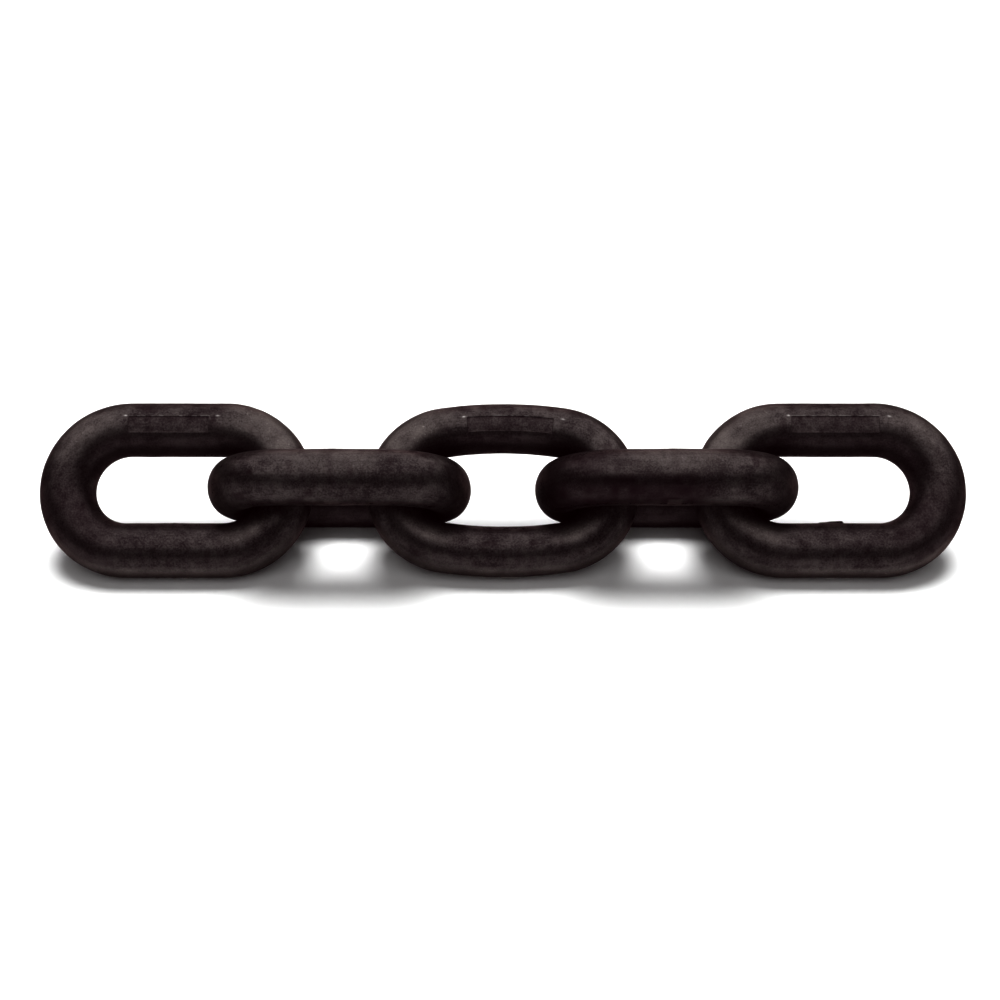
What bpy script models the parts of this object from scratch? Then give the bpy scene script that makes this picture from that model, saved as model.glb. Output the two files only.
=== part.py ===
"""Short length of welded short-link steel chain: five links, lying straight along X.

Every link is one round bar bent to a long ring, so the chain has five solids and nothing else.
The odd links lean back 45 degrees and the even links lean forward 45 degrees, so that the chain
lies on two rows of legs. Units are metres, +Z is up and the floor is at Z = 0.
"""
import math
from collections import namedtuple

import bmesh
import bpy

# Driving dimensions of a link
BAR_DIAMETER = 0.020
PITCH = 3.0 * BAR_DIAMETER          # clear length inside a link
INSIDE_WIDTH = 1.25 * BAR_DIAMETER  # clear width between the two legs
SEAT_GAP = 0.0003                   # running gap between two threaded links
LEAN = math.radians(45.0)           # lean of the odd links, the even links lean the other way

# Worked out from them
BAR_RADIUS = BAR_DIAMETER / 2
HALF_WIDTH = INSIDE_WIDTH / 2 + BAR_RADIUS  # link centre to the middle of the bar in a leg
CROWN_REACH = PITCH / 2 + BAR_RADIUS        # link centre to the middle of the bar in a crown
LINK_STEP = PITCH - SEAT_GAP                # link centre to link centre
CENTRE_HEIGHT = HALF_WIDTH * math.sin(LEAN) + BAR_RADIUS

# Forms of link. half_width and end_radius run to the middle of the bar, and a link whose end
# radius is its half width has straight legs. The slim shares say how much of the bar's radius is
# missing on the inner or outer side of the legs or crowns.
LinkForm = namedtuple("LinkForm", "half_width end_radius leg_slim_in leg_slim_out crown_slim_out")
END_FORM = LinkForm(HALF_WIDTH, HALF_WIDTH, 0.0, 0.0, 0.0)
EDGE_ON_FORM = LinkForm(HALF_WIDTH, HALF_WIDTH, 0.0, 0.0, 0.20)
MIDDLE_FORM = LinkForm(0.02285, 0.0215, 0.10, 0.06, 0.0)
FORMS = (END_FORM, EDGE_ON_FORM, MIDDLE_FORM, EDGE_ON_FORM, END_FORM)

# Stamped panel on the upper leg of the odd links, left plain
PANEL_LENGTH = 0.030
PANEL_WIDTH = 0.006
PANEL_DEPTH = 0.0006
CUTTER_RISE = 0.004

# Fineness of the faceted solids
BAR_SIDES = 24
CROWN_RINGS = 16
SIDE_RINGS = 6

STEEL_COLOUR = (0.034, 0.026, 0.026, 1.0)
STEEL_ROUGHNESS = 0.5
STEEL_METALLIC = 0.6


def clear_scene():
    for old in list(bpy.data.objects):
        bpy.data.objects.remove(old, do_unlink=True)


def make_steel():
    steel = bpy.data.materials.new("black_steel")
    steel.use_nodes = True
    shader = steel.node_tree.nodes["Principled BSDF"]
    shader.inputs["Base Color"].default_value = STEEL_COLOUR
    shader.inputs["Roughness"].default_value = STEEL_ROUGHNESS
    shader.inputs["Metallic"].default_value = STEEL_METALLIC
    return steel


def arc_stations(centre, radius, start, stop, count):
    """Rings along an arc of the bar, as (x, y, outward direction, mitre).

    The bend is made of short straight facets. Each touches the true arc at its own middle, and
    the first and the last at the arc's ends, so the link keeps its true size across the facets.
    """
    half_step = (stop - start) / (2 * count)
    mitre = 1.0 / math.cos(half_step)
    stations = []
    for ring in range(count):
        angle = start + half_step * (2 * ring + 1)
        out = (math.cos(angle), math.sin(angle))
        place = [centre[axis] + radius * mitre * out[axis] for axis in (0, 1)]
        stations.append((place[0], place[1], out, mitre))
    return stations


def link_stations(form):
    """All rings of a link in order. Its oval has two end arcs and, if it is bowed, two side arcs."""
    quarter = math.radians(90.0)
    end_centre = CROWN_REACH - form.end_radius
    step_in = form.half_width - form.end_radius
    bow = 0.0
    if step_in > 0:
        side_centre = (end_centre ** 2 - step_in ** 2) / (2 * step_in)
        bow = math.atan2(end_centre, side_centre)
    stations = []
    for turn in (0.0, math.pi):
        side = math.cos(turn)
        first = turn - quarter + bow
        last = turn + quarter - bow
        stations += arc_stations((side * end_centre, 0.0), form.end_radius, first, last, CROWN_RINGS)
        if bow > 0:
            centre = (0.0, -side * side_centre)
            radius = form.half_width + side_centre
            stations += arc_stations(centre, radius, last, last + 2 * bow, SIDE_RINGS)
    return stations


def bar_ring(mesh, station, form):
    """One ring of the bar, slimmed in the link's plane as the form says."""
    x, y, out, mitre = station
    crown_share = out[0] ** 2
    leg_share = out[1] ** 2
    outer = mitre * (1.0 - form.leg_slim_out * leg_share - form.crown_slim_out * crown_share)
    inner = mitre * (1.0 - form.leg_slim_in * leg_share)
    corner_radius = BAR_RADIUS / math.cos(math.pi / BAR_SIDES)
    ring = []
    for side in range(BAR_SIDES):
        angle = 2 * math.pi * (side + 0.5) / BAR_SIDES
        radial = corner_radius * math.cos(angle)
        radial *= outer if radial > 0 else inner
        height = corner_radius * math.sin(angle)
        ring.append(mesh.verts.new((x + out[0] * radial, y + out[1] * radial, height)))
    return ring


def make_link_mesh(name, form, steel):
    """One link in its own XY plane, centred on the origin, long side along X."""
    mesh = bmesh.new()
    rings = [bar_ring(mesh, station, form) for station in link_stations(form)]
    for ring, following in zip(rings, rings[1:] + rings[:1]):
        for side in range(BAR_SIDES):
            step = (side + 1) % BAR_SIDES
            mesh.faces.new((ring[side], ring[step], following[step], following[side]))
    bmesh.ops.recalc_face_normals(mesh, faces=mesh.faces)
    data = bpy.data.meshes.new(name)
    mesh.to_mesh(data)
    mesh.free()
    data.materials.append(steel)
    data.shade_smooth()
    data.set_sharp_from_angle(angle=math.radians(30.0))
    return data


def add_object(name, data, parent=None, location=(0.0, 0.0, 0.0), turn=0.0):
    """Object or, without data, empty, placed in its parent and turned about its parent's X."""
    thing = bpy.data.objects.new(name, data)
    bpy.context.scene.collection.objects.link(thing)
    thing.parent = parent
    thing.location = location
    thing.rotation_euler = (turn, 0.0, 0.0)
    return thing


def make_panel_cutter_mesh():
    """Block that sinks the panel into the flank of the leg at +Y, from the +Z side."""
    mesh = bmesh.new()
    bmesh.ops.create_cube(mesh, size=1.0)
    height = PANEL_DEPTH + CUTTER_RISE
    bmesh.ops.scale(mesh, vec=(PANEL_LENGTH, PANEL_WIDTH, height), verts=mesh.verts)
    middle = (0.0, HALF_WIDTH, BAR_RADIUS - PANEL_DEPTH + height / 2)
    bmesh.ops.translate(mesh, vec=middle, verts=mesh.verts)
    data = bpy.data.meshes.new("panel_cutter")
    mesh.to_mesh(data)
    mesh.free()
    return data


def sink_panel(link, cutter_mesh):
    cutter = add_object("panel_cutter_" + link.name, cutter_mesh, parent=link)
    cutter.hide_render = True
    cutter.display_type = "WIRE"
    cut = link.modifiers.new("panel", "BOOLEAN")
    cut.operation = "DIFFERENCE"
    cut.object = cutter
    cut.solver = "EXACT"


def make_chain():
    """Thread the links. Each swings on an empty that sits in the crown of the link before it.

    The empty's Z axis is the axis of the swing, along the bar of that crown.
    """
    steel = make_steel()
    meshes = {form: make_link_mesh("link", form, steel) for form in FORMS}
    cutter_mesh = make_panel_cutter_mesh()
    first_x = -LINK_STEP * (len(FORMS) - 1) / 2
    previous = None
    for number, form in enumerate(FORMS, start=1):
        faces_front = number % 2 == 1
        if previous is None:
            place = (first_x, 0.0, CENTRE_HEIGHT)
            link = add_object("link_1", meshes[form], location=place, turn=LEAN)
        else:
            quarter_turn = math.radians(90.0 if faces_front else -90.0)
            place = (LINK_STEP - CROWN_REACH, 0.0, 0.0)
            pivot = add_object(f"pivot_{number}", None, previous, (CROWN_REACH, 0.0, 0.0), quarter_turn)
            link = add_object(f"link_{number}", meshes[form], pivot, place)
        if faces_front:
            sink_panel(link, cutter_mesh)
        previous = link


clear_scene()
make_chain()
bpy.context.view_layer.update()
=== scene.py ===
"""Looks of a short length of black welded short-link chain.

Every link is remade as a fine mesh of its bar: rolled a little uneven, with scale and drawing
streaks, a trimmed butt weld and, on the links that face the front, a bare stamped panel.
Units are metres. A place on a link is given by "along", the way along the bar from the middle of
its +Y leg, and by "around", the angle round the bar from the link's outer side to its own +Z side,
which is the front of the links that face the camera.
"""
import functools
import itertools
import math
from collections import namedtuple

import bpy
import numpy as np
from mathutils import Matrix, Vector


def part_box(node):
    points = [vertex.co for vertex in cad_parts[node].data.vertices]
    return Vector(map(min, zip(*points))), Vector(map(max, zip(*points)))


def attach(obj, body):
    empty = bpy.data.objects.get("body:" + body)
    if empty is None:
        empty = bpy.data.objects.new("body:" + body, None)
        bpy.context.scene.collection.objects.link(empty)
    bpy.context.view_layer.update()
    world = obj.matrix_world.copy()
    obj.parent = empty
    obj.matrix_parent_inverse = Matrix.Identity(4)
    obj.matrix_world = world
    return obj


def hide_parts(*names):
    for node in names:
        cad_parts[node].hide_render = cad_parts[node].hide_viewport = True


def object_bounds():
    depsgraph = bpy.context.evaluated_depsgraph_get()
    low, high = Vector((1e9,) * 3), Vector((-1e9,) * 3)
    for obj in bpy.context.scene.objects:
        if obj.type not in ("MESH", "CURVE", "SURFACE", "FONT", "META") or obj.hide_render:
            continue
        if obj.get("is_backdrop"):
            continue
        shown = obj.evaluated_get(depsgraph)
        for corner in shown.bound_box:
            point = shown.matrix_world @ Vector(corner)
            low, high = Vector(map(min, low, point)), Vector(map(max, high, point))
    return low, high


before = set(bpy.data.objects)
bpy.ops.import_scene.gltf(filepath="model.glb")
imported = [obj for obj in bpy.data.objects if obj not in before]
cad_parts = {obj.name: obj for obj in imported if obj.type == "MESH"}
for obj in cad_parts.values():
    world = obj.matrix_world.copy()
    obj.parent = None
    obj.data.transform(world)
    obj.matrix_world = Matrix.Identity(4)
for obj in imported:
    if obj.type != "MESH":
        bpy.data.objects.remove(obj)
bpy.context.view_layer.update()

MM = 0.001
LINK_NAMES = sorted(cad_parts)

# Size of the links. An end link is five bars long, the other sizes are shares of the bar.
end_low, end_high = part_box(LINK_NAMES[0])
BAR_DIAMETER = (end_high[0] - end_low[0]) / 5
BAR_RADIUS = BAR_DIAMETER / 2
HALF_WIDTH = 1.125 * BAR_DIAMETER
CROWN_REACH = 2.0 * BAR_DIAMETER
LEAN = math.radians(45.0)

# Forms of link, as in the solids: half width and end radius run to the middle of the bar, and
# the slim shares say how much of the bar's radius is missing on that side.
LinkForm = namedtuple("LinkForm", "half_width end_radius leg_slim_in leg_slim_out crown_slim_out")
END_FORM = LinkForm(HALF_WIDTH, HALF_WIDTH, 0.0, 0.0, 0.0)
EDGE_ON_FORM = LinkForm(HALF_WIDTH, HALF_WIDTH, 0.0, 0.0, 0.20)
MIDDLE_FORM = LinkForm(1.1425 * BAR_DIAMETER, 1.075 * BAR_DIAMETER, 0.10, 0.06, 0.0)

# The links in order. stamp_shift is how far the stamped panel sits from the middle of its leg, and
# None on the edge-on links, which have no panel. The two shoulder values after the stamp's length say
# how far the shoulders at -X and +X are lightened, partly as rubbed scale and partly as a painted
# highlight. dark_side is the side painted darker: -1, 1 or, where there is none, 0. Its crown gets
# painted shade on its -Y part, and an edge-on link a darker front and nose at that end. On the end
# links it is the free crown.
ChainLink = namedtuple("ChainLink", "form stamp_shift stamp_length worn_low worn_high dark_side")
LINKS = (
    ChainLink(END_FORM, -2.2 * MM, 29.2 * MM, 0.4, 0.8, -1),
    ChainLink(EDGE_ON_FORM, None, None, 0.0, 0.0, 0),
    ChainLink(MIDDLE_FORM, 2.6 * MM, 31.2 * MM, 0.8, 0.2, 0),
    ChainLink(EDGE_ON_FORM, None, None, 0.0, 0.0, -1),
    ChainLink(END_FORM, 1.4 * MM, 32.0 * MM, 0.7, 0.4, 1),
)

# Fineness of the meshes, and the margin round each row of their flat maps
LINES_ALONG = 484
LINES_AROUND = 152
MAP_MARGIN = 0.01

# Each link has its own hundred of noise seeds, and each kind of relief or mark a number in it
SEEDS_PER_LINK = 100
WELD_SEED = 10
PANEL_SEED = 20
EDGE_BURR_SEED = 22
BURR_SEED = 24
RUB_AND_LIGHT_SEED = 30
SOOT_AND_SHADE_SEED = 40

# Values each way in the lattice of a noise, which then repeats
NOISE_LATTICE = 32

# Kinds of value used below. A wave is a layer of noise, with its size and its height. A side is
# a way that the skin faces, with the cosines where a mark on it starts and where it is full. A
# span is the start and stop of a smooth step, and a crest is the middle and width of a hump.
Wave = namedtuple("Wave", "size height")
Side = namedtuple("Side", "degrees start full")

# Skin of the bar. Its relief lies inside the solids' round.
SKIN_DEPTH = 0.07 * MM
SKIN_LEVEL = 0.35
SKIN_SWELLS = Wave(14.0 * MM, 0.50)
SKIN_STREAKS = Wave(2.4 * MM, 0.22)
SKIN_LUMPS = Wave(4.0 * MM, 0.40)
SKIN_GRAIN = Wave(1.1 * MM, 0.14)
STREAK_SHORTENING = 0.12
PIT_SIZE = 2.2 * MM
PIT_THRESHOLD = 0.55
PIT_STRENGTH = 1.6
UNEVEN_DEPTH = 0.10 * MM
UNEVEN_LEVEL = 0.5
UNEVEN_WAVES = Wave(9.0 * MM, 0.5)

# Stamped panel, sunk a little all round and nearly flat, with a fine burr and two slivers that
# the stamp pushed up along its upper edge
PANEL_HALF_WIDTH = 3.0 * MM
PANEL_DEPTH = 0.22 * MM
PANEL_FLATNESS = 0.65
PANEL_WALL = 0.05 * MM
PANEL_WAVES = Wave(1.3 * MM, 0.03 * MM)
PANEL_GRAIN = Wave(0.6 * MM, 0.02 * MM)
LIP_HEIGHT = 0.20 * MM
LIP_CREST = (PANEL_HALF_WIDTH + 0.20 * MM, 0.30 * MM)
LOW_LIP_CREST = (1.0 * MM, 0.5 * MM)
HIGH_LIP_CREST = (3.2 * MM, 0.6 * MM)
HIGH_LIP_SHARE = 0.7
LIP_BARE = 0.4
EDGE_BURR_HEIGHT = 0.04 * MM
EDGE_BURR_CREST = (PANEL_HALF_WIDTH + 0.12 * MM, 0.14 * MM)
EDGE_BURR_FADE = 0.5 * MM
EDGE_BURR_GAPS = 1.1 * MM
EDGE_BURR_GAP_SPAN = (-0.1, 0.3)
EDGE_BURR_BARE = 0.12

# Butt weld in the middle of the -Y leg: a low swelling and the ragged line of its sheared flash
OUTSIDE = Side(0.0, 0.2, 0.9)
WELD_SWELL = 0.14 * MM
WELD_SWELL_CREST = (0.0, 5.0 * MM)
SHEAR_LINE_WAVES = Wave(4.0 * MM, 0.6 * MM)
RIDGE_HEIGHT = 0.05 * MM
RIDGE_CREST = (0.0, 0.8 * MM)
RIDGE_LEVEL = 0.4
RIDGE_GAPS = 1.3 * MM
RIDGE_SHORTENING = 0.3
GROOVE_DEPTH = 0.03 * MM
GROOVE_CREST = (1.8 * MM, 0.7 * MM)
GROOVE_LOSS_OUTSIDE = 0.6

# Burrs left by the weld's flash, and the flat shaved beside it on the edge-on links. The spans of
# the inner burr are shares of its half length.
BURR_HEIGHT = 0.24 * MM
BURR_TURN = math.radians(-4.0)
BURR_CREST = (0.0, 0.26 * MM)
BURR_END_SPAN = (6.0 * MM, 7.5 * MM)
BURR_GAPS = 2.2 * MM
BURR_GAP_SPAN = (-0.35, 0.1)
INNER_BURR_HEIGHT = 0.75 * MM
INNER_BURR_TURN = math.radians(174.0)
INNER_BURR_CREST = (0.0, 1.3 * MM)
INNER_BURR_HALF_LENGTH = 4.2 * MM
INNER_BURR_LEVEL = 0.35
INNER_BURR_RISE_SPAN = (-1.0, 0.9)
INNER_BURR_START_SPAN = (-1.15, -0.95)
INNER_BURR_BREAK_SPAN = (0.98, 1.02)
TRIM_DEPTH = 0.10 * MM
TRIM_TURN = math.radians(-75.0)
TRIM_LENGTH_SPAN = (2.2 * MM, 2.8 * MM)
TRIM_WIDTH_SPAN = (1.8 * MM, 2.3 * MM)

# Lines of the grid close to an edge, as ways from that edge
PANEL_END_LINES = (-0.25 * MM, -PANEL_WALL, PANEL_WALL, 0.3 * MM, 0.6 * MM, 1.0 * MM, 1.4 * MM)
PANEL_SIDE_LINES = (-0.25 * MM, -PANEL_WALL, PANEL_WALL, 0.2 * MM, 0.55 * MM)
BURR_LINES = (-0.2 * MM, 0.0, 0.2 * MM)
INNER_BURR_LINES = (-0.1 * MM, 0.1 * MM)

# Lighter places, which are rubbed scale and painted light: how patchy and strong they are, the sides of
# the bar that they lie on, and spans along X or Y of the link's own frame. The trimmed flat is rubbed,
# the top of an edge-on link is a painted highlight, the shoulders are partly rubbed and partly a painted
# highlight, and the seats are painted light where a neighbour shades the crown. The foot is the outside
# of the leg that a link facing the front lies on, lightened as a painted reflection of the floor.
RUB_AND_LIGHT_LEVEL = 0.75
RUB_AND_LIGHT_WAVES = Wave(5.0 * MM, 0.35)
TRIM_WORN = 0.3
# Painted highlight along the top of an edge-on link's middle
TOP_HIGHLIGHT = 0.45
TOP_SIDE = Side(50.0, 0.3, 1.0)
TOP_SPAN_X = (10.0 * MM, 24.0 * MM)
# Shoulders, partly rubbed and partly a painted highlight
SHOULDER_SIDE = Side(50.0, 0.2, 0.9)
SHOULDER_SPAN_X = (14.0 * MM, 28.0 * MM)
SHOULDER_SPAN_Y = (3.0 * MM, 12.0 * MM)
# Painted light on the seats, where a neighbour shades the crown
SEAT_PAINTED_LIGHT = 0.6
SEAT_SIDE = Side(115.0, 0.80, 0.97)
# Painted reflection of the floor on the foot
FOOT_REFLECTION = 0.9
FOOT_SIDE = Side(4.0, 0.72, 0.92)
FOOT_SPAN_Y = (-18.0 * MM, -8.0 * MM)

# Darker places, in the same way: painted shade on one crown, soot in smudges and along the weld,
# darker places on one edge-on link, painted shade on the rear leg of an edge-on link, and painted
# shade in the panel, on the lower leg and under the upper leg of a link that faces the front
# Painted shade on the -Y part of the crown at the dark side, its lower part on a link that faces the
# front
CROWN_SHADE = 0.70
CROWN_SHADE_SPAN_X = (12.0 * MM, 28.0 * MM)
CROWN_SHADE_SPAN_Y = (-10.0 * MM, 18.0 * MM)
CROWN_SHADE_LEVEL = 0.8
CROWN_SHADE_WAVES = Wave(6.0 * MM, 0.3)
SMUDGE_SOOT = 0.6
SMUDGE_SIZE = 3.5 * MM
SMUDGE_SPAN = (0.30, 0.75)
WELD_SOOT = 0.45
WELD_SOOT_CREST = (0.0, 1.2 * MM)
WELD_SOOT_WAVES = Wave(3.0 * MM, 0.8 * MM)
WELD_SOOT_SIDE = Side(25.0, 0.2, 0.8)
# Darker front of one half, and a darker nose at that end, on an edge-on link with a dark side
FRONT_SIDE = Side(-45.0, 0.6, 0.9)
FRONT_SPAN_X = (-18.0 * MM, -4.0 * MM)
NOSE_DARKENING = 0.7
NOSE_SPAN_X = (16.0 * MM, 26.0 * MM)
BLOTCH_LEVEL = 0.95
BLOTCH_WAVES = Wave(3.0 * MM, 0.35)
# Painted shade on the rear leg of an edge-on link
REAR_LEG_SHADE = 0.7
REAR_LEG_SPAN_Y = (0.0, 12.0 * MM)
# Painted shade in the sunk panel, deeper along its outer long edge
PANEL_SHADE = 0.4
PANEL_SHADE_WAVES = Wave(1.6 * MM, 0.3)
PANEL_EDGE_SHADE = 0.4
PANEL_EDGE_SHADE_CREST = (0.9 * PANEL_HALF_WIDTH, 0.4 * MM)
# Painted shade on the lower leg of a link that faces the front
LOW_LEG_SHADE = 0.2
LOW_LEG_SPAN_Y = (10.0 * MM, 18.0 * MM)
# Painted shade on the underside of the upper leg
UNDERSIDE_SHADE = 0.7
UNDERSIDE_SIDE = Side(150.0, 0.6, 0.95)
UNDERSIDE_SPAN_Y = (-4.0 * MM, 10.0 * MM)

# Colours of the steel, from soot, which also stands for painted shade, over scale, rubbed scale, which
# also stands for painted highlights and reflection, and its specks to bare metal
SOOT_AND_SHADE_COLOUR = (0.016, 0.008, 0.011, 1.0)
DARK_SCALE_COLOUR = (0.0265, 0.0203, 0.0220, 1.0)
LIGHT_SCALE_COLOUR = (0.0900, 0.0785, 0.0772, 1.0)
RUBBED_AND_LIT_COLOUR = (0.140, 0.124, 0.118, 1.0)
SPECK_COLOUR = (0.40, 0.37, 0.36, 1.0)
BARE_COLOUR = (0.85, 0.82, 0.80, 1.0)

# Textures of the scale, with their waves a metre. The tone adds up the first four by weight.
Texture = namedtuple("Texture", "scale detail roughness")
CLOUDS = Texture(60.0, 2.0, 0.5)
PATCHES = Texture(230.0, 3.0, 0.6)
GRAIN = Texture(1500.0, 3.0, 0.7)
STREAKS = Texture(800.0, 3.0, 0.6)
SPECKS = Texture(1100.0, 1.0, 0.5)
TONE_WEIGHTS = (0.2, 0.27, 0.38, 0.15)
DARK_TONE = 0.415
LIGHT_TONE = 0.585

# How the textures steer the steel: from this low and high value to that low and high value
GRAIN_TO_RUB_AND_LIGHT = (0.3, 0.6, 0.6, 1.0)
TEXTURE_TO_SPECKS = (0.66, 0.76, 0.0, 0.30)
PATCHES_TO_ROUGHNESS = (0.3, 0.7, 0.48, 0.38)

STEEL_METALLIC = 0.85
STEEL_SPECULAR_TINT = (0.35, 0.30, 0.30, 1.0)
STEEL_SPECULAR_LEVEL = 0.25
# The darker mark, soot and painted shade, covers the scale by this share of it
SOOT_AND_SHADE_STRENGTH = 0.75
BUMP_STRENGTH = 0.6
FINE_BUMP = 0.06 * MM
FINE_BUMP_WEIGHTS = (0.7, 0.3)
BROAD_BUMP = 0.20 * MM

# Lamps, with width and place in degrees. height goes from 0 behind the chain over 90 above it, and
# side turns it from behind to +X. The side softboxes stand on both sides.
Lamp = namedtuple("Lamp", "name strength width height side")
SOFTBOXES = (
    Lamp("back_low_softbox", 0.92, 36.0, 20.0, 0.0),
    Lamp("back_high_softbox", 1.00, 42.0, 60.0, 0.0),
    Lamp("front_softbox", 0.52, 36.0, 125.0, 0.0),
)
SIDE_SOFTBOXES = (
    Lamp("softbox", 0.57, 46.0, 44.0, 80.0),
    Lamp("back_softbox", 0.80, 38.0, 34.0, 45.0),
    Lamp("front_softbox", 1.05, 46.0, 62.0, 112.0),
)
FLOOR_LAMPS = (
    Lamp("floor_key", 4.2, 32.0, 77.0, 0.0),
    Lamp("floor_back", 0.6, 40.0, 60.0, 0.0),
    Lamp("floor_front", 1.2, 60.0, 130.0, 0.0),
)
BACKGROUND_COLOUR = (1.5, 1.5, 1.5, 1.0)
FLOOR_COLOUR = (0.9, 0.9, 0.9, 1.0)
FLOOR_ROUGHNESS = 0.9
FLOOR_HALF_SIZE = 4.0

# Contrast of the photograph, and its black, which is a dark red-brown
VIEW_GAMMA = 0.65
BLACK_LEVEL = (-0.007, 0.0, -0.001)

# Chain in the photograph, in the pixels of its 1000 x 1000 frame
PHOTO_CENTRE_X = 502.9
PHOTO_CENTRE_Y = 489.8
PHOTO_CHAIN_WIDTH = 923.0
IMAGE_SIZE = 1000.0

CAMERA_ELEVATION = math.radians(34.0)
CAMERA_LENS = 50.0
SENSOR_WIDTH = 36.0


def smooth_step(value, start, stop):
    """From 0 at the start to 1 at the stop, level at both."""
    share = np.clip((value - start) / (stop - start), 0.0, 1.0)
    return share * share * (3.0 - 2.0 * share)


def hump(value, middle, width):
    """1 at the middle, falling smoothly to nothing over about twice the width."""
    return np.exp(-((value - middle) / width) ** 2)


def highest(*shares):
    """The highest of the shares at each point."""
    return functools.reduce(np.maximum, shares)


def lattice_noise(points, cell, seed):
    """Smooth noise from -1 to 1, between seeded values on a lattice of that cell size."""
    size = NOISE_LATTICE
    values = np.random.default_rng(seed).uniform(-1.0, 1.0, (size, size, size))
    scaled = points / cell
    corner = np.floor(scaled).astype(int)
    share = scaled - corner
    share = share * share * (3.0 - 2.0 * share)
    total = 0.0
    for step in itertools.product((0, 1), repeat=3):
        weight = np.prod(np.where(step, share, 1.0 - share), axis=-1)
        place = (corner + step) % size
        total = total + weight * values[place[..., 0], place[..., 1], place[..., 2]]
    return total


def wave_noise(points, wave, seed):
    """Smooth noise with the size and height of the wave."""
    return wave.height * lattice_noise(points, wave.size, seed)


class Bar:
    """The bar of one link as a grid of points, lines along it by lines around it."""

    def __init__(self, link):
        self.form = form = link.form
        self.stamp_shift = link.stamp_shift
        self.stamp_half_length = link.stamp_length / 2 if link.stamp_length else None
        self.end_centre = CROWN_REACH - form.end_radius
        step_in = form.half_width - form.end_radius
        if step_in > 0:
            self.side_centre = (self.end_centre ** 2 - step_in ** 2) / (2 * step_in)
            self.bow = math.atan2(self.end_centre, self.side_centre)
            self.side_length = self.bow * (form.half_width + self.side_centre)
        else:
            self.bow = 0.0
            self.side_length = self.end_centre
        self.quarter = self.side_length + form.end_radius * (math.pi / 2 - self.bow)
        self.length = 4 * self.quarter
        self.line_along = self.lines_along()
        self.line_around = self.lines_around()
        self.along, self.around = np.meshgrid(self.line_along, self.line_around, indexing="ij")
        self.trace_middle_line()
        self.plain_skin = self.points(np.full_like(self.along, BAR_RADIUS))

    def lines_along(self):
        """Even lines, and close ones at the ends of the panel and of the inner burr."""
        lines = list(np.arange(LINES_ALONG) * self.length / LINES_ALONG)
        burr_end = self.length / 2 - INNER_BURR_HALF_LENGTH
        lines += [burr_end - offset for offset in INNER_BURR_LINES]
        if self.stamp_shift is not None:
            for offset in PANEL_END_LINES:
                edge = self.stamp_half_length + offset
                lines += [self.stamp_shift + edge, self.length + self.stamp_shift - edge]
        return np.sort(lines)

    def lines_around(self):
        """Even lines, and close ones at the long edges of the panel and at the outer burr."""
        lines = list(np.arange(LINES_AROUND) * 2 * math.pi / LINES_AROUND)
        lines += [2 * math.pi + BURR_TURN + offset / BAR_RADIUS for offset in BURR_LINES]
        if self.stamp_shift is not None:
            for offset in PANEL_SIDE_LINES:
                turn = math.asin((PANEL_HALF_WIDTH + offset) / BAR_RADIUS)
                lines += [math.pi / 2 - turn, math.pi / 2 + turn]
        return np.sort(lines)

    def trace_middle_line(self):
        """Middle of the bar and its outward direction at each line, folded out of one quarter."""
        along = self.line_along
        quadrant = np.minimum((along / self.quarter).astype(int), 3)
        way = np.choose(quadrant, (along, 2 * self.quarter - along,
                                   along - 2 * self.quarter, self.length - along))
        sign_x = np.choose(quadrant, (1.0, 1.0, -1.0, -1.0))
        sign_y = np.choose(quadrant, (1.0, -1.0, -1.0, 1.0))
        in_crown = way > self.side_length
        crown_turn = self.bow + (way - self.side_length) / self.form.end_radius
        if self.bow > 0:
            side_radius = self.form.half_width + self.side_centre
            side_turn = way / side_radius
            side_x = side_radius * np.sin(side_turn)
            side_y = side_radius * np.cos(side_turn) - self.side_centre
        else:
            side_turn = np.zeros_like(way)
            side_x = way
            side_y = np.full_like(way, self.form.half_width)
        turn = np.where(in_crown, crown_turn, side_turn)
        x = np.where(in_crown, self.end_centre + self.form.end_radius * np.sin(turn), side_x)
        y = np.where(in_crown, self.form.end_radius * np.cos(turn), side_y)
        self.middle_x = (sign_x * x)[:, None]
        self.middle_y = (sign_y * y)[:, None]
        self.out_x = (sign_x * np.sin(turn))[:, None]
        self.out_y = (sign_y * np.cos(turn))[:, None]

    def bar_space(self, shortening):
        """Coordinates for streaks and gaps: true size across the bar, shortened along it.

        At 0 nothing changes along the bar, and at 1 the way along it counts in full. The legs are
        set apart, so that their streaks differ.
        """
        leg_step = 3.1
        across = BAR_RADIUS * np.cos(self.around) + leg_step * shortening * self.middle_y
        height = BAR_RADIUS * np.sin(self.around)
        drift = shortening * self.middle_x + np.zeros_like(across)
        return np.stack((across, height, drift), axis=-1)

    def points(self, radius):
        """Points of the skin in the link's own frame, for the bar's radius at each of them."""
        form = self.form
        crown_share = self.out_x ** 2
        leg_share = self.out_y ** 2
        outer = 1.0 - form.leg_slim_out * leg_share - form.crown_slim_out * crown_share
        inner = 1.0 - form.leg_slim_in * leg_share
        radial = radius * np.cos(self.around)
        radial = radial * np.where(radial > 0, outer, inner)
        x = self.middle_x + self.out_x * radial
        y = self.middle_y + self.out_y * radial
        return np.stack((x, y, radius * np.sin(self.around)), axis=-1)


def from_weld(bar):
    """Way along the bar from the weld, towards the crown at -X."""
    return bar.along - bar.length / 2


def from_panel(bar):
    """Way along the bar from the middle of the panel, towards the crown at +X."""
    return (bar.along - bar.stamp_shift + bar.length / 2) % bar.length - bar.length / 2


def from_turn(bar, turn):
    """Way round the bar from that angle."""
    return BAR_RADIUS * ((bar.around - turn + math.pi) % (2 * math.pi) - math.pi)


def across_panel(bar):
    """Way across the panel from its middle line, towards the link's outer side."""
    return BAR_RADIUS * np.cos(bar.around)


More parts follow.
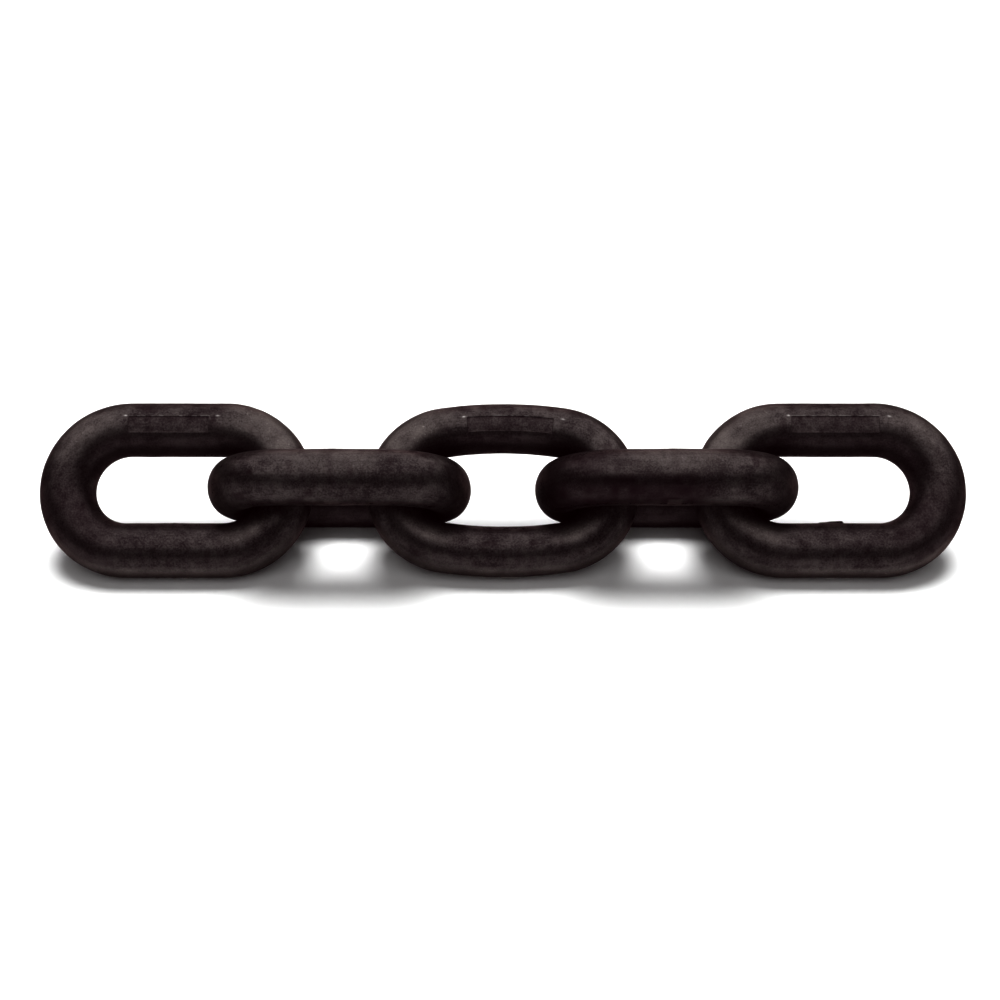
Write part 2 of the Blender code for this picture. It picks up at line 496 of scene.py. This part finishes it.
def on_panel_side(bar):
    """Whether the skin is on the +Z half of the bar, where the panel is."""
    return np.sin(bar.around) > 0


def facing(bar, side):
    """1 where the skin faces that side, falling smoothly to 0 away from it."""
    return smooth_step(np.cos(bar.around - math.radians(side.degrees)), side.start, side.full)


def skin_relief(bar, seed):
    """Height of the rolled and scaled skin: fine relief up and down, less the uneven rolling."""
    places = bar.plain_skin
    waves = wave_noise(places, SKIN_SWELLS, seed)
    waves += wave_noise(bar.bar_space(STREAK_SHORTENING), SKIN_STREAKS, seed + 1)
    waves += wave_noise(places, SKIN_LUMPS, seed + 2)
    waves += wave_noise(places, SKIN_GRAIN, seed + 3)
    pits = np.maximum(0.0, lattice_noise(places, PIT_SIZE, seed + 4) - PIT_THRESHOLD)
    scale = np.clip(SKIN_LEVEL + waves - PIT_STRENGTH * pits, -1.0, 1.0)
    uneven = UNEVEN_LEVEL + wave_noise(places, UNEVEN_WAVES, seed + 5)
    return SKIN_DEPTH * scale - UNEVEN_DEPTH * uneven


def weld_relief(bar, seed):
    """Low swelling of the butt weld, with the ragged line where its flash was sheared off."""
    way = from_weld(bar)
    outside = facing(bar, OUTSIDE)
    ragged = lattice_noise(bar.bar_space(RIDGE_SHORTENING), RIDGE_GAPS, seed)
    shear_line = way - wave_noise(bar.bar_space(0.0), SHEAR_LINE_WAVES, seed + 1)
    swell = WELD_SWELL * hump(way, *WELD_SWELL_CREST)
    ridge = RIDGE_HEIGHT * hump(shear_line, *RIDGE_CREST) * np.clip(RIDGE_LEVEL + ragged, 0.0, 1.0)
    groove = GROOVE_DEPTH * hump(np.abs(shear_line), *GROOVE_CREST)
    return (swell + ridge) * (1.0 - outside) - groove * (1.0 - GROOVE_LOSS_OUTSIDE * outside)


def burr_share(bar, seed):
    """Thin broken burr left along the outside of the weld, 1 on its crest."""
    window = 1.0 - smooth_step(np.abs(from_weld(bar)), *BURR_END_SPAN)
    broken = smooth_step(lattice_noise(bar.bar_space(1.0), BURR_GAPS, seed), *BURR_GAP_SPAN)
    return window * broken * hump(from_turn(bar, BURR_TURN), *BURR_CREST)


def inner_burr_share(bar):
    """Wedge of flash on the inside of the weld, rising towards +X and broken off sheer."""
    way = -from_weld(bar) / INNER_BURR_HALF_LENGTH
    rise = smooth_step(way, *INNER_BURR_RISE_SPAN)
    wedge = INNER_BURR_LEVEL + (1.0 - INNER_BURR_LEVEL) * rise
    wedge *= smooth_step(way, *INNER_BURR_START_SPAN)
    wedge *= 1.0 - smooth_step(way, *INNER_BURR_BREAK_SPAN)
    return wedge * hump(from_turn(bar, INNER_BURR_TURN), *INNER_BURR_CREST)


def trim_share(bar):
    """Small shaved flat beside the weld, facing down and forward on the edge-on links."""
    length_share = 1.0 - smooth_step(np.abs(from_weld(bar)), *TRIM_LENGTH_SPAN)
    width_share = 1.0 - smooth_step(np.abs(from_turn(bar, TRIM_TURN)), *TRIM_WIDTH_SPAN)
    return length_share * width_share


def panel_share(bar):
    """1 on the floor of the stamped panel, on the front of the +Y leg, and 0 around it."""
    end = bar.stamp_half_length
    side = PANEL_HALF_WIDTH
    inside = 1.0 - smooth_step(np.abs(from_panel(bar)), end - PANEL_WALL, end + PANEL_WALL)
    inside = inside * (1.0 - smooth_step(np.abs(across_panel(bar)), side - PANEL_WALL, side + PANEL_WALL))
    return inside * on_panel_side(bar)


def lip_share(bar, inside):
    """Slivers that the stamp pushed up outside the panel's upper corners."""
    upper_edge = hump(across_panel(bar), *LIP_CREST) * on_panel_side(bar)
    low_end = hump(-from_panel(bar) - bar.stamp_half_length, *LOW_LIP_CREST)
    high_end = hump(from_panel(bar) - bar.stamp_half_length, *HIGH_LIP_CREST)
    return (low_end + HIGH_LIP_SHARE * high_end) * upper_edge * (1.0 - inside)


def edge_burr_share(bar, inside, seed):
    """Fine broken burr along the panel's upper edge."""
    end = bar.stamp_half_length
    upper_edge = hump(across_panel(bar), *EDGE_BURR_CREST) * on_panel_side(bar)
    window = 1.0 - smooth_step(np.abs(from_panel(bar)), end, end + EDGE_BURR_FADE)
    broken = smooth_step(lattice_noise(bar.bar_space(1.0), EDGE_BURR_GAPS, seed), *EDGE_BURR_GAP_SPAN)
    return window * broken * upper_edge * (1.0 - inside)


def panel_relief(bar, inside, seed):
    """Sunk and slightly rough floor of the panel."""
    flank = math.cos(math.asin(PANEL_HALF_WIDTH / BAR_RADIUS))
    flat = BAR_RADIUS * flank / np.maximum(np.abs(np.sin(bar.around)), flank)
    rough = wave_noise(bar.plain_skin, PANEL_WAVES, seed)
    rough += wave_noise(bar.plain_skin, PANEL_GRAIN, seed + 1)
    return inside * (PANEL_FLATNESS * (flat - BAR_RADIUS) - PANEL_DEPTH + rough)


def face_on_relief(bar, seed):
    """What a link facing the front has over its skin and weld, and how bare the metal is there."""
    panel = panel_share(bar)
    lip = lip_share(bar, panel)
    edge_burr = edge_burr_share(bar, panel, seed + EDGE_BURR_SEED)
    burr = burr_share(bar, seed + BURR_SEED)
    relief = panel_relief(bar, panel, seed + PANEL_SEED)
    relief += LIP_HEIGHT * lip + EDGE_BURR_HEIGHT * edge_burr + BURR_HEIGHT * burr
    return relief, highest(LIP_BARE * lip, EDGE_BURR_BARE * edge_burr, burr)


def edge_on_top_highlight(bar):
    """Painted highlight on the top of an edge-on link's middle."""
    middle = 1.0 - smooth_step(np.abs(bar.middle_x), *TOP_SPAN_X)
    return TOP_HIGHLIGHT * facing(bar, TOP_SIDE) * middle


def face_on_rub_and_light(bar, link):
    """Lighter places of a link that faces the front: the shoulders, partly rubbed and partly a painted
    highlight, painted light on the seats of the neighbours where they shade the crown, and a painted
    reflection of the floor on the foot.
    """
    at_high = smooth_step(bar.middle_x, *SHOULDER_SPAN_X)
    at_low = smooth_step(-bar.middle_x, *SHOULDER_SPAN_X)
    upper = smooth_step(bar.middle_y, *SHOULDER_SPAN_Y)
    # Shoulders: partly rubbed, partly a painted highlight
    shoulders = (at_high * link.worn_high + at_low * link.worn_low) * upper
    shoulders = shoulders * facing(bar, SHOULDER_SIDE)
    threaded = at_high * (link.dark_side < 1) + at_low * (link.dark_side > -1)
    # Painted light on the seats, where the neighbour shades the crown
    seat_light = SEAT_PAINTED_LIGHT * threaded * facing(bar, SEAT_SIDE)
    # Painted reflection of the floor on the foot
    foot = FOOT_REFLECTION * facing(bar, FOOT_SIDE)
    lower = 1.0 - smooth_step(bar.middle_y, *FOOT_SPAN_Y)
    return highest(shoulders, lower * highest(foot, seat_light))


def rub_and_light_share(bar, link, seed):
    """How far the scale is lightened to a dull grey: rubbed places, painted highlights and a painted
    reflection.
    """
    patchy = RUB_AND_LIGHT_LEVEL + wave_noise(bar.plain_skin, RUB_AND_LIGHT_WAVES, seed)
    if link.stamp_shift is None:
        return highest(edge_on_top_highlight(bar) * patchy, TRIM_WORN * trim_share(bar))
    return face_on_rub_and_light(bar, link) * patchy


def edge_on_darkening(bar, link, seed):
    """Darker places of an edge-on link: the front of its dark half and the nose at that end, if it has
    one, and painted shade on its rear leg.
    """
    # Darker front of the dark half and the nose at that end
    half = smooth_step(bar.middle_x * link.dark_side, *FRONT_SPAN_X) * abs(link.dark_side)
    nose = NOSE_DARKENING * smooth_step(bar.middle_x * link.dark_side, *NOSE_SPAN_X)
    blotched = BLOTCH_LEVEL + wave_noise(bar.plain_skin, BLOTCH_WAVES, seed)
    dark_side = highest(half * facing(bar, FRONT_SIDE), nose) * blotched
    # Painted shade on the rear leg
    return highest(dark_side, REAR_LEG_SHADE * smooth_step(bar.middle_y, *REAR_LEG_SPAN_Y))


def face_on_shade(bar, seed):
    """Painted shade on a link that faces the front: in the panel, on the lower leg, under the upper leg.
    """
    # Painted shade in the panel, deeper along its outer long edge
    panel = PANEL_SHADE + PANEL_EDGE_SHADE * hump(across_panel(bar), *PANEL_EDGE_SHADE_CREST)
    panel = panel + wave_noise(bar.plain_skin, PANEL_SHADE_WAVES, seed)
    # Painted shade on the lower leg
    low_leg = LOW_LEG_SHADE * smooth_step(-bar.middle_y, *LOW_LEG_SPAN_Y)
    # Painted shade on the underside of the upper leg
    underside = UNDERSIDE_SHADE * facing(bar, UNDERSIDE_SIDE)
    underside = underside * smooth_step(bar.middle_y, *UNDERSIDE_SPAN_Y)
    return highest(panel * panel_share(bar), low_leg, underside)


def soot_and_shade_share(bar, link, seed):
    """How far the scale is darker: painted shade on the crown at the dark side, soot in smudges and at
    the weld, and the link's own places.
    """
    places = bar.plain_skin
    # Painted shade on the -Y part of the crown at the dark side
    crown = smooth_step(bar.middle_x * link.dark_side, *CROWN_SHADE_SPAN_X)
    lower = 1.0 - smooth_step(bar.middle_y, *CROWN_SHADE_SPAN_Y)
    crown_shade = CROWN_SHADE * crown * lower * (CROWN_SHADE_LEVEL + wave_noise(places, CROWN_SHADE_WAVES, seed))
    smudges = SMUDGE_SOOT * smooth_step(lattice_noise(places, SMUDGE_SIZE, seed + 1), *SMUDGE_SPAN)
    ragged = from_weld(bar) - wave_noise(places, WELD_SOOT_WAVES, seed + 2)
    weld = WELD_SOOT * hump(ragged, *WELD_SOOT_CREST) * facing(bar, WELD_SOOT_SIDE)
    if link.stamp_shift is None:
        own = edge_on_darkening(bar, link, seed + 3)
    else:
        own = face_on_shade(bar, seed + 3)
    return highest(crown_shade, smudges, weld, own)


def make_mesh(name, bar, points, marks):
    """Mesh of a grid closed both ways round, with a flat map of it in two rows for baking."""
    count_along, count_around = bar.along.shape
    first = np.arange(count_along)[:, None]
    second = np.arange(count_around)[None, :]
    next_first = (first + 1) % count_along
    next_second = (second + 1) % count_around
    corners = np.stack((first * count_around + second, first * count_around + next_second,
                        next_first * count_around + next_second, next_first * count_around + second),
                       axis=-1).reshape(-1)
    face_count = count_along * count_around
    mesh = bpy.data.meshes.new(name)
    mesh.vertices.add(face_count)
    mesh.vertices.foreach_set("co", points.reshape(-1).astype(np.float32))
    mesh.loops.add(4 * face_count)
    mesh.loops.foreach_set("vertex_index", corners.astype(np.int32))
    mesh.polygons.add(face_count)
    mesh.polygons.foreach_set("loop_start", np.arange(0, 4 * face_count, 4, dtype=np.int32))
    mesh.polygons.foreach_set("use_smooth", np.ones(face_count, dtype=bool))
    mesh.update(calc_edges=True)
    mesh.validate()
    for mark, values in marks.items():
        layer = mesh.attributes.new(mark, "FLOAT", "POINT")
        layer.data.foreach_set("value", np.ascontiguousarray(values, dtype=np.float32).reshape(-1))
    streak = mesh.attributes.new("streak", "FLOAT_VECTOR", "POINT")
    streak_places = bar.bar_space(STREAK_SHORTENING)
    streak.data.foreach_set("vector", streak_places.reshape(-1).astype(np.float32))
    lay_out_map(mesh, bar)
    return mesh


def lay_out_map(mesh, bar):
    """Each half of the bar's length is one row of the map, with a margin round it."""
    row_height = 0.5
    rounding = 1e-9
    along_ends = np.append(bar.line_along, bar.length)
    around_ends = np.append(bar.line_around, 2 * math.pi)
    first, second = np.meshgrid(np.arange(len(bar.line_along)), np.arange(len(bar.line_around)),
                                indexing="ij")
    row = (bar.line_along[first] >= bar.length / 2 - rounding).astype(float)
    corners = []
    for step_first, step_second in ((0, 0), (0, 1), (1, 1), (1, 0)):
        across = 2 * along_ends[first + step_first] / bar.length - row
        up = around_ends[second + step_second] / (2 * math.pi)
        u = MAP_MARGIN + (1 - 2 * MAP_MARGIN) * across
        v = row_height * row + MAP_MARGIN + (row_height - 2 * MAP_MARGIN) * up
        corners.append(np.stack((u, v), axis=-1))
    flat_map = mesh.uv_layers.new(name="OFBake")
    flat_map.data.foreach_set("uv", np.stack(corners, axis=2).reshape(-1).astype(np.float32))


def place_link(points, centre, lean):
    """Points of the link's own frame put in the world."""
    world = points.copy()
    world[..., 1] = points[..., 1] * math.cos(lean) - points[..., 2] * math.sin(lean)
    world[..., 2] = points[..., 1] * math.sin(lean) + points[..., 2] * math.cos(lean)
    return world + np.array(centre)


def make_link(number, link, material):
    """One link of the chain, riding on its own body in place of the plain solid."""
    node = LINK_NAMES[number - 1]
    faces_front = link.stamp_shift is not None
    seed = SEEDS_PER_LINK * number
    bar = Bar(link)
    radius = BAR_RADIUS - SKIN_DEPTH + skin_relief(bar, seed) + weld_relief(bar, seed + WELD_SEED)
    if faces_front:
        relief, bare = face_on_relief(bar, seed)
    else:
        relief = -TRIM_DEPTH * trim_share(bar)
        bare = np.zeros_like(bar.along)
    radius += relief
    if node == LINK_NAMES[-1]:
        radius += INNER_BURR_HEIGHT * inner_burr_share(bar)
    low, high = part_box(node)
    centre = [(low[axis] + high[axis]) / 2 for axis in range(3)]
    world = place_link(bar.points(radius), centre, LEAN if faces_front else -LEAN)
    world[..., 2] = np.maximum(world[..., 2], 0.0)
    # The lighter mark is rubbed scale and painted highlights and reflection, the darker mark soot and
    # painted shade
    marks = {
        "worn": rub_and_light_share(bar, link, seed + RUB_AND_LIGHT_SEED),
        "bare": bare,
        "soot_and_shade": soot_and_shade_share(bar, link, seed + SOOT_AND_SHADE_SEED),
    }
    mesh = make_mesh("bar_" + node, bar, world, marks)
    piece = bpy.data.objects.new("forged_" + node, mesh)
    bpy.context.scene.collection.objects.link(piece)
    mesh.materials.append(material)
    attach(piece, node)
    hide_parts(node)


def add_node(tree, kind, **settings):
    node = tree.nodes.new(kind)
    for name, value in settings.items():
        setattr(node, name, value)
    return node


def attribute(tree, name, output="Fac"):
    return add_node(tree, "ShaderNodeAttribute", attribute_name=name).outputs[output]


def noise(tree, vector, texture):
    node = add_node(tree, "ShaderNodeTexNoise")
    node.inputs["Scale"].default_value = texture.scale
    node.inputs["Detail"].default_value = texture.detail
    node.inputs["Roughness"].default_value = texture.roughness
    tree.links.new(vector, node.inputs["Vector"])
    return node.outputs["Fac"]


def math_node(tree, operation, first, second):
    node = add_node(tree, "ShaderNodeMath", operation=operation)
    for socket, value in zip(node.inputs, (first, second)):
        if isinstance(value, (int, float)):
            socket.default_value = value
        else:
            tree.links.new(value, socket)
    return node.outputs[0]


def map_range(tree, value, limits):
    """The value carried over from one range to another. limits has the ends of both in order."""
    node = add_node(tree, "ShaderNodeMapRange")
    tree.links.new(value, node.inputs["Value"])
    for name, limit in zip(("From Min", "From Max", "To Min", "To Max"), limits):
        node.inputs[name].default_value = limit
    return node.outputs["Result"]


def colour_sockets(sockets):
    return [socket for socket in sockets if socket.type == "RGBA"]


def cover(tree, colour, share, layer_colour):
    """The colour with a share of it covered by a fixed colour."""
    node = add_node(tree, "ShaderNodeMix", data_type="RGBA")
    below, above = colour_sockets(node.inputs)
    tree.links.new(share, node.inputs["Factor"])
    tree.links.new(colour, below)
    above.default_value = layer_colour
    return colour_sockets(node.outputs)[0]


def weighted_sum(tree, values, weights):
    total = None
    for value, weight in zip(values, weights):
        scaled = math_node(tree, "MULTIPLY", value, weight)
        total = scaled if total is None else math_node(tree, "ADD", total, scaled)
    return total


def bump(tree, height, distance):
    node = add_node(tree, "ShaderNodeBump")
    node.inputs["Strength"].default_value = BUMP_STRENGTH
    node.inputs["Distance"].default_value = distance
    tree.links.new(height, node.inputs["Height"])
    return node


def scale_colour(tree, place, tone, grain):
    """Colour of the steel: scale by its tone, then soot and painted shade, rubbed places with painted
    highlights and reflection, specks and bare metal.
    """
    ramp = add_node(tree, "ShaderNodeValToRGB")
    dark, light = ramp.color_ramp.elements
    dark.position = DARK_TONE
    dark.color = DARK_SCALE_COLOUR
    light.position = LIGHT_TONE
    light.color = LIGHT_SCALE_COLOUR
    tree.links.new(tone, ramp.inputs["Fac"])
    # Lighter mark: rubbed scale, painted highlights and a painted reflection
    worn = attribute(tree, "worn")
    # Darker mark: soot and painted shade
    darkening = math_node(tree, "MULTIPLY", attribute(tree, "soot_and_shade"), SOOT_AND_SHADE_STRENGTH)
    rub_and_light_cover = math_node(tree, "MULTIPLY", worn, map_range(tree, grain, GRAIN_TO_RUB_AND_LIGHT))
    # Specks lie only on the lighter mark, painted highlights included
    specks = map_range(tree, noise(tree, place, SPECKS), TEXTURE_TO_SPECKS)
    specks = math_node(tree, "MULTIPLY", specks, worn)
    colour = cover(tree, ramp.outputs["Color"], darkening, SOOT_AND_SHADE_COLOUR)
    colour = cover(tree, colour, rub_and_light_cover, RUBBED_AND_LIT_COLOUR)
    colour = cover(tree, colour, specks, SPECK_COLOUR)
    return cover(tree, colour, attribute(tree, "bare"), BARE_COLOUR)


def make_black_steel():
    """Dull black-brown mill scale: soft patches, fine grain and faint streaks along the bar."""
    material = bpy.data.materials.new("black_forged_steel")
    material.use_nodes = True
    tree = material.node_tree
    shader = tree.nodes["Principled BSDF"]
    shader.inputs["Metallic"].default_value = STEEL_METALLIC
    shader.inputs["Specular Tint"].default_value = STEEL_SPECULAR_TINT
    shader.inputs["Specular IOR Level"].default_value = STEEL_SPECULAR_LEVEL
    place = add_node(tree, "ShaderNodeTexCoord").outputs["Object"]
    clouds = noise(tree, place, CLOUDS)
    patches = noise(tree, place, PATCHES)
    grain = noise(tree, place, GRAIN)
    streaks = noise(tree, attribute(tree, "streak", "Vector"), STREAKS)
    tone = weighted_sum(tree, (clouds, patches, grain, streaks), TONE_WEIGHTS)
    tree.links.new(scale_colour(tree, place, tone, grain), shader.inputs["Base Color"])
    tree.links.new(map_range(tree, patches, PATCHES_TO_ROUGHNESS), shader.inputs["Roughness"])
    fine = bump(tree, weighted_sum(tree, (grain, streaks), FINE_BUMP_WEIGHTS), FINE_BUMP)
    broad = bump(tree, patches, BROAD_BUMP)
    tree.links.new(fine.outputs["Normal"], broad.inputs["Normal"])
    tree.links.new(broad.outputs["Normal"], shader.inputs["Normal"])
    return material


def make_floor():
    half = FLOOR_HALF_SIZE
    corners = [(-half, -half, 0), (half, -half, 0), (half, half, 0), (-half, half, 0)]
    mesh = bpy.data.meshes.new("floor")
    mesh.from_pydata(corners, [], [(0, 1, 2, 3)])
    floor = bpy.data.objects.new("floor", mesh)
    bpy.context.scene.collection.objects.link(floor)
    material = bpy.data.materials.new("pale_floor")
    material.use_nodes = True
    shader = material.node_tree.nodes["Principled BSDF"]
    shader.inputs["Base Color"].default_value = FLOOR_COLOUR
    shader.inputs["Roughness"].default_value = FLOOR_ROUGHNESS
    shader.inputs["Specular IOR Level"].default_value = 0.0
    mesh.materials.append(material)
    floor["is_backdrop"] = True


def aim(thing, place, target):
    thing.location = place
    thing.rotation_euler = (Vector(target) - Vector(place)).to_track_quat("-Z", "Y").to_euler()


def make_sun(lamp):
    """Soft light without distance, as wide as the lamp seems from the chain."""
    light = bpy.data.lights.new(lamp.name, "SUN")
    light.energy = lamp.strength
    light.angle = math.radians(lamp.width)
    sun = bpy.data.objects.new(lamp.name, light)
    bpy.context.scene.collection.objects.link(sun)
    height = math.radians(lamp.height)
    side = math.radians(lamp.side)
    place = (math.sin(side) * math.cos(height), math.cos(side) * math.cos(height), math.sin(height))
    aim(sun, place, (0.0, 0.0, 0.0))
    return sun


def make_world():
    """White background that only the camera sees."""
    world = bpy.data.worlds.new("studio")
    bpy.context.scene.world = world
    world.use_nodes = True
    world.node_tree.nodes["Background"].inputs["Color"].default_value = BACKGROUND_COLOUR
    world.cycles_visibility.diffuse = False
    world.cycles_visibility.glossy = False


def grade(view):
    view.view_transform = "Standard"
    view.gamma = VIEW_GAMMA
    view.use_curve_mapping = True
    view.curve_mapping.black_level = BLACK_LEVEL
    view.curve_mapping.update()


def make_studio():
    """White floor, softboxes that show as the steel's gloss, and lamps mainly for the floor."""
    grade(bpy.context.scene.view_settings)
    make_world()
    softboxes = list(SOFTBOXES)
    for prefix, sign in (("left_", -1), ("right_", 1)):
        for lamp in SIDE_SOFTBOXES:
            softboxes.append(lamp._replace(name=prefix + lamp.name, side=sign * lamp.side))
    for lamp in softboxes:
        make_sun(lamp).visible_diffuse = False
    for lamp in FLOOR_LAMPS:
        make_sun(lamp).visible_glossy = False
    make_floor()


def make_camera():
    """Camera in front of the chain at the photograph's angle, framed as there."""
    low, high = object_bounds()
    centre = (Vector(low) + Vector(high)) / 2
    view_width = (high[0] - low[0]) * IMAGE_SIZE / PHOTO_CHAIN_WIDTH
    distance = view_width * CAMERA_LENS / SENSOR_WIDTH
    pixel = view_width / IMAGE_SIZE
    right = Vector((1.0, 0.0, 0.0))
    up = Vector((0.0, math.sin(CAMERA_ELEVATION), math.cos(CAMERA_ELEVATION)))
    back = Vector((0.0, -math.cos(CAMERA_ELEVATION), math.sin(CAMERA_ELEVATION)))
    target = centre - right * (PHOTO_CENTRE_X - IMAGE_SIZE / 2) * pixel
    target += up * (PHOTO_CENTRE_Y - IMAGE_SIZE / 2) * pixel
    camera = bpy.data.cameras.new("camera")
    camera.lens = CAMERA_LENS
    camera.sensor_width = SENSOR_WIDTH
    rig = bpy.data.objects.new("camera", camera)
    bpy.context.scene.collection.objects.link(rig)
    aim(rig, target + back * distance, target)
    bpy.context.scene.camera = rig


make_studio()
steel = make_black_steel()
for number, link in enumerate(LINKS, start=1):
    make_link(number, link, steel)
make_camera()
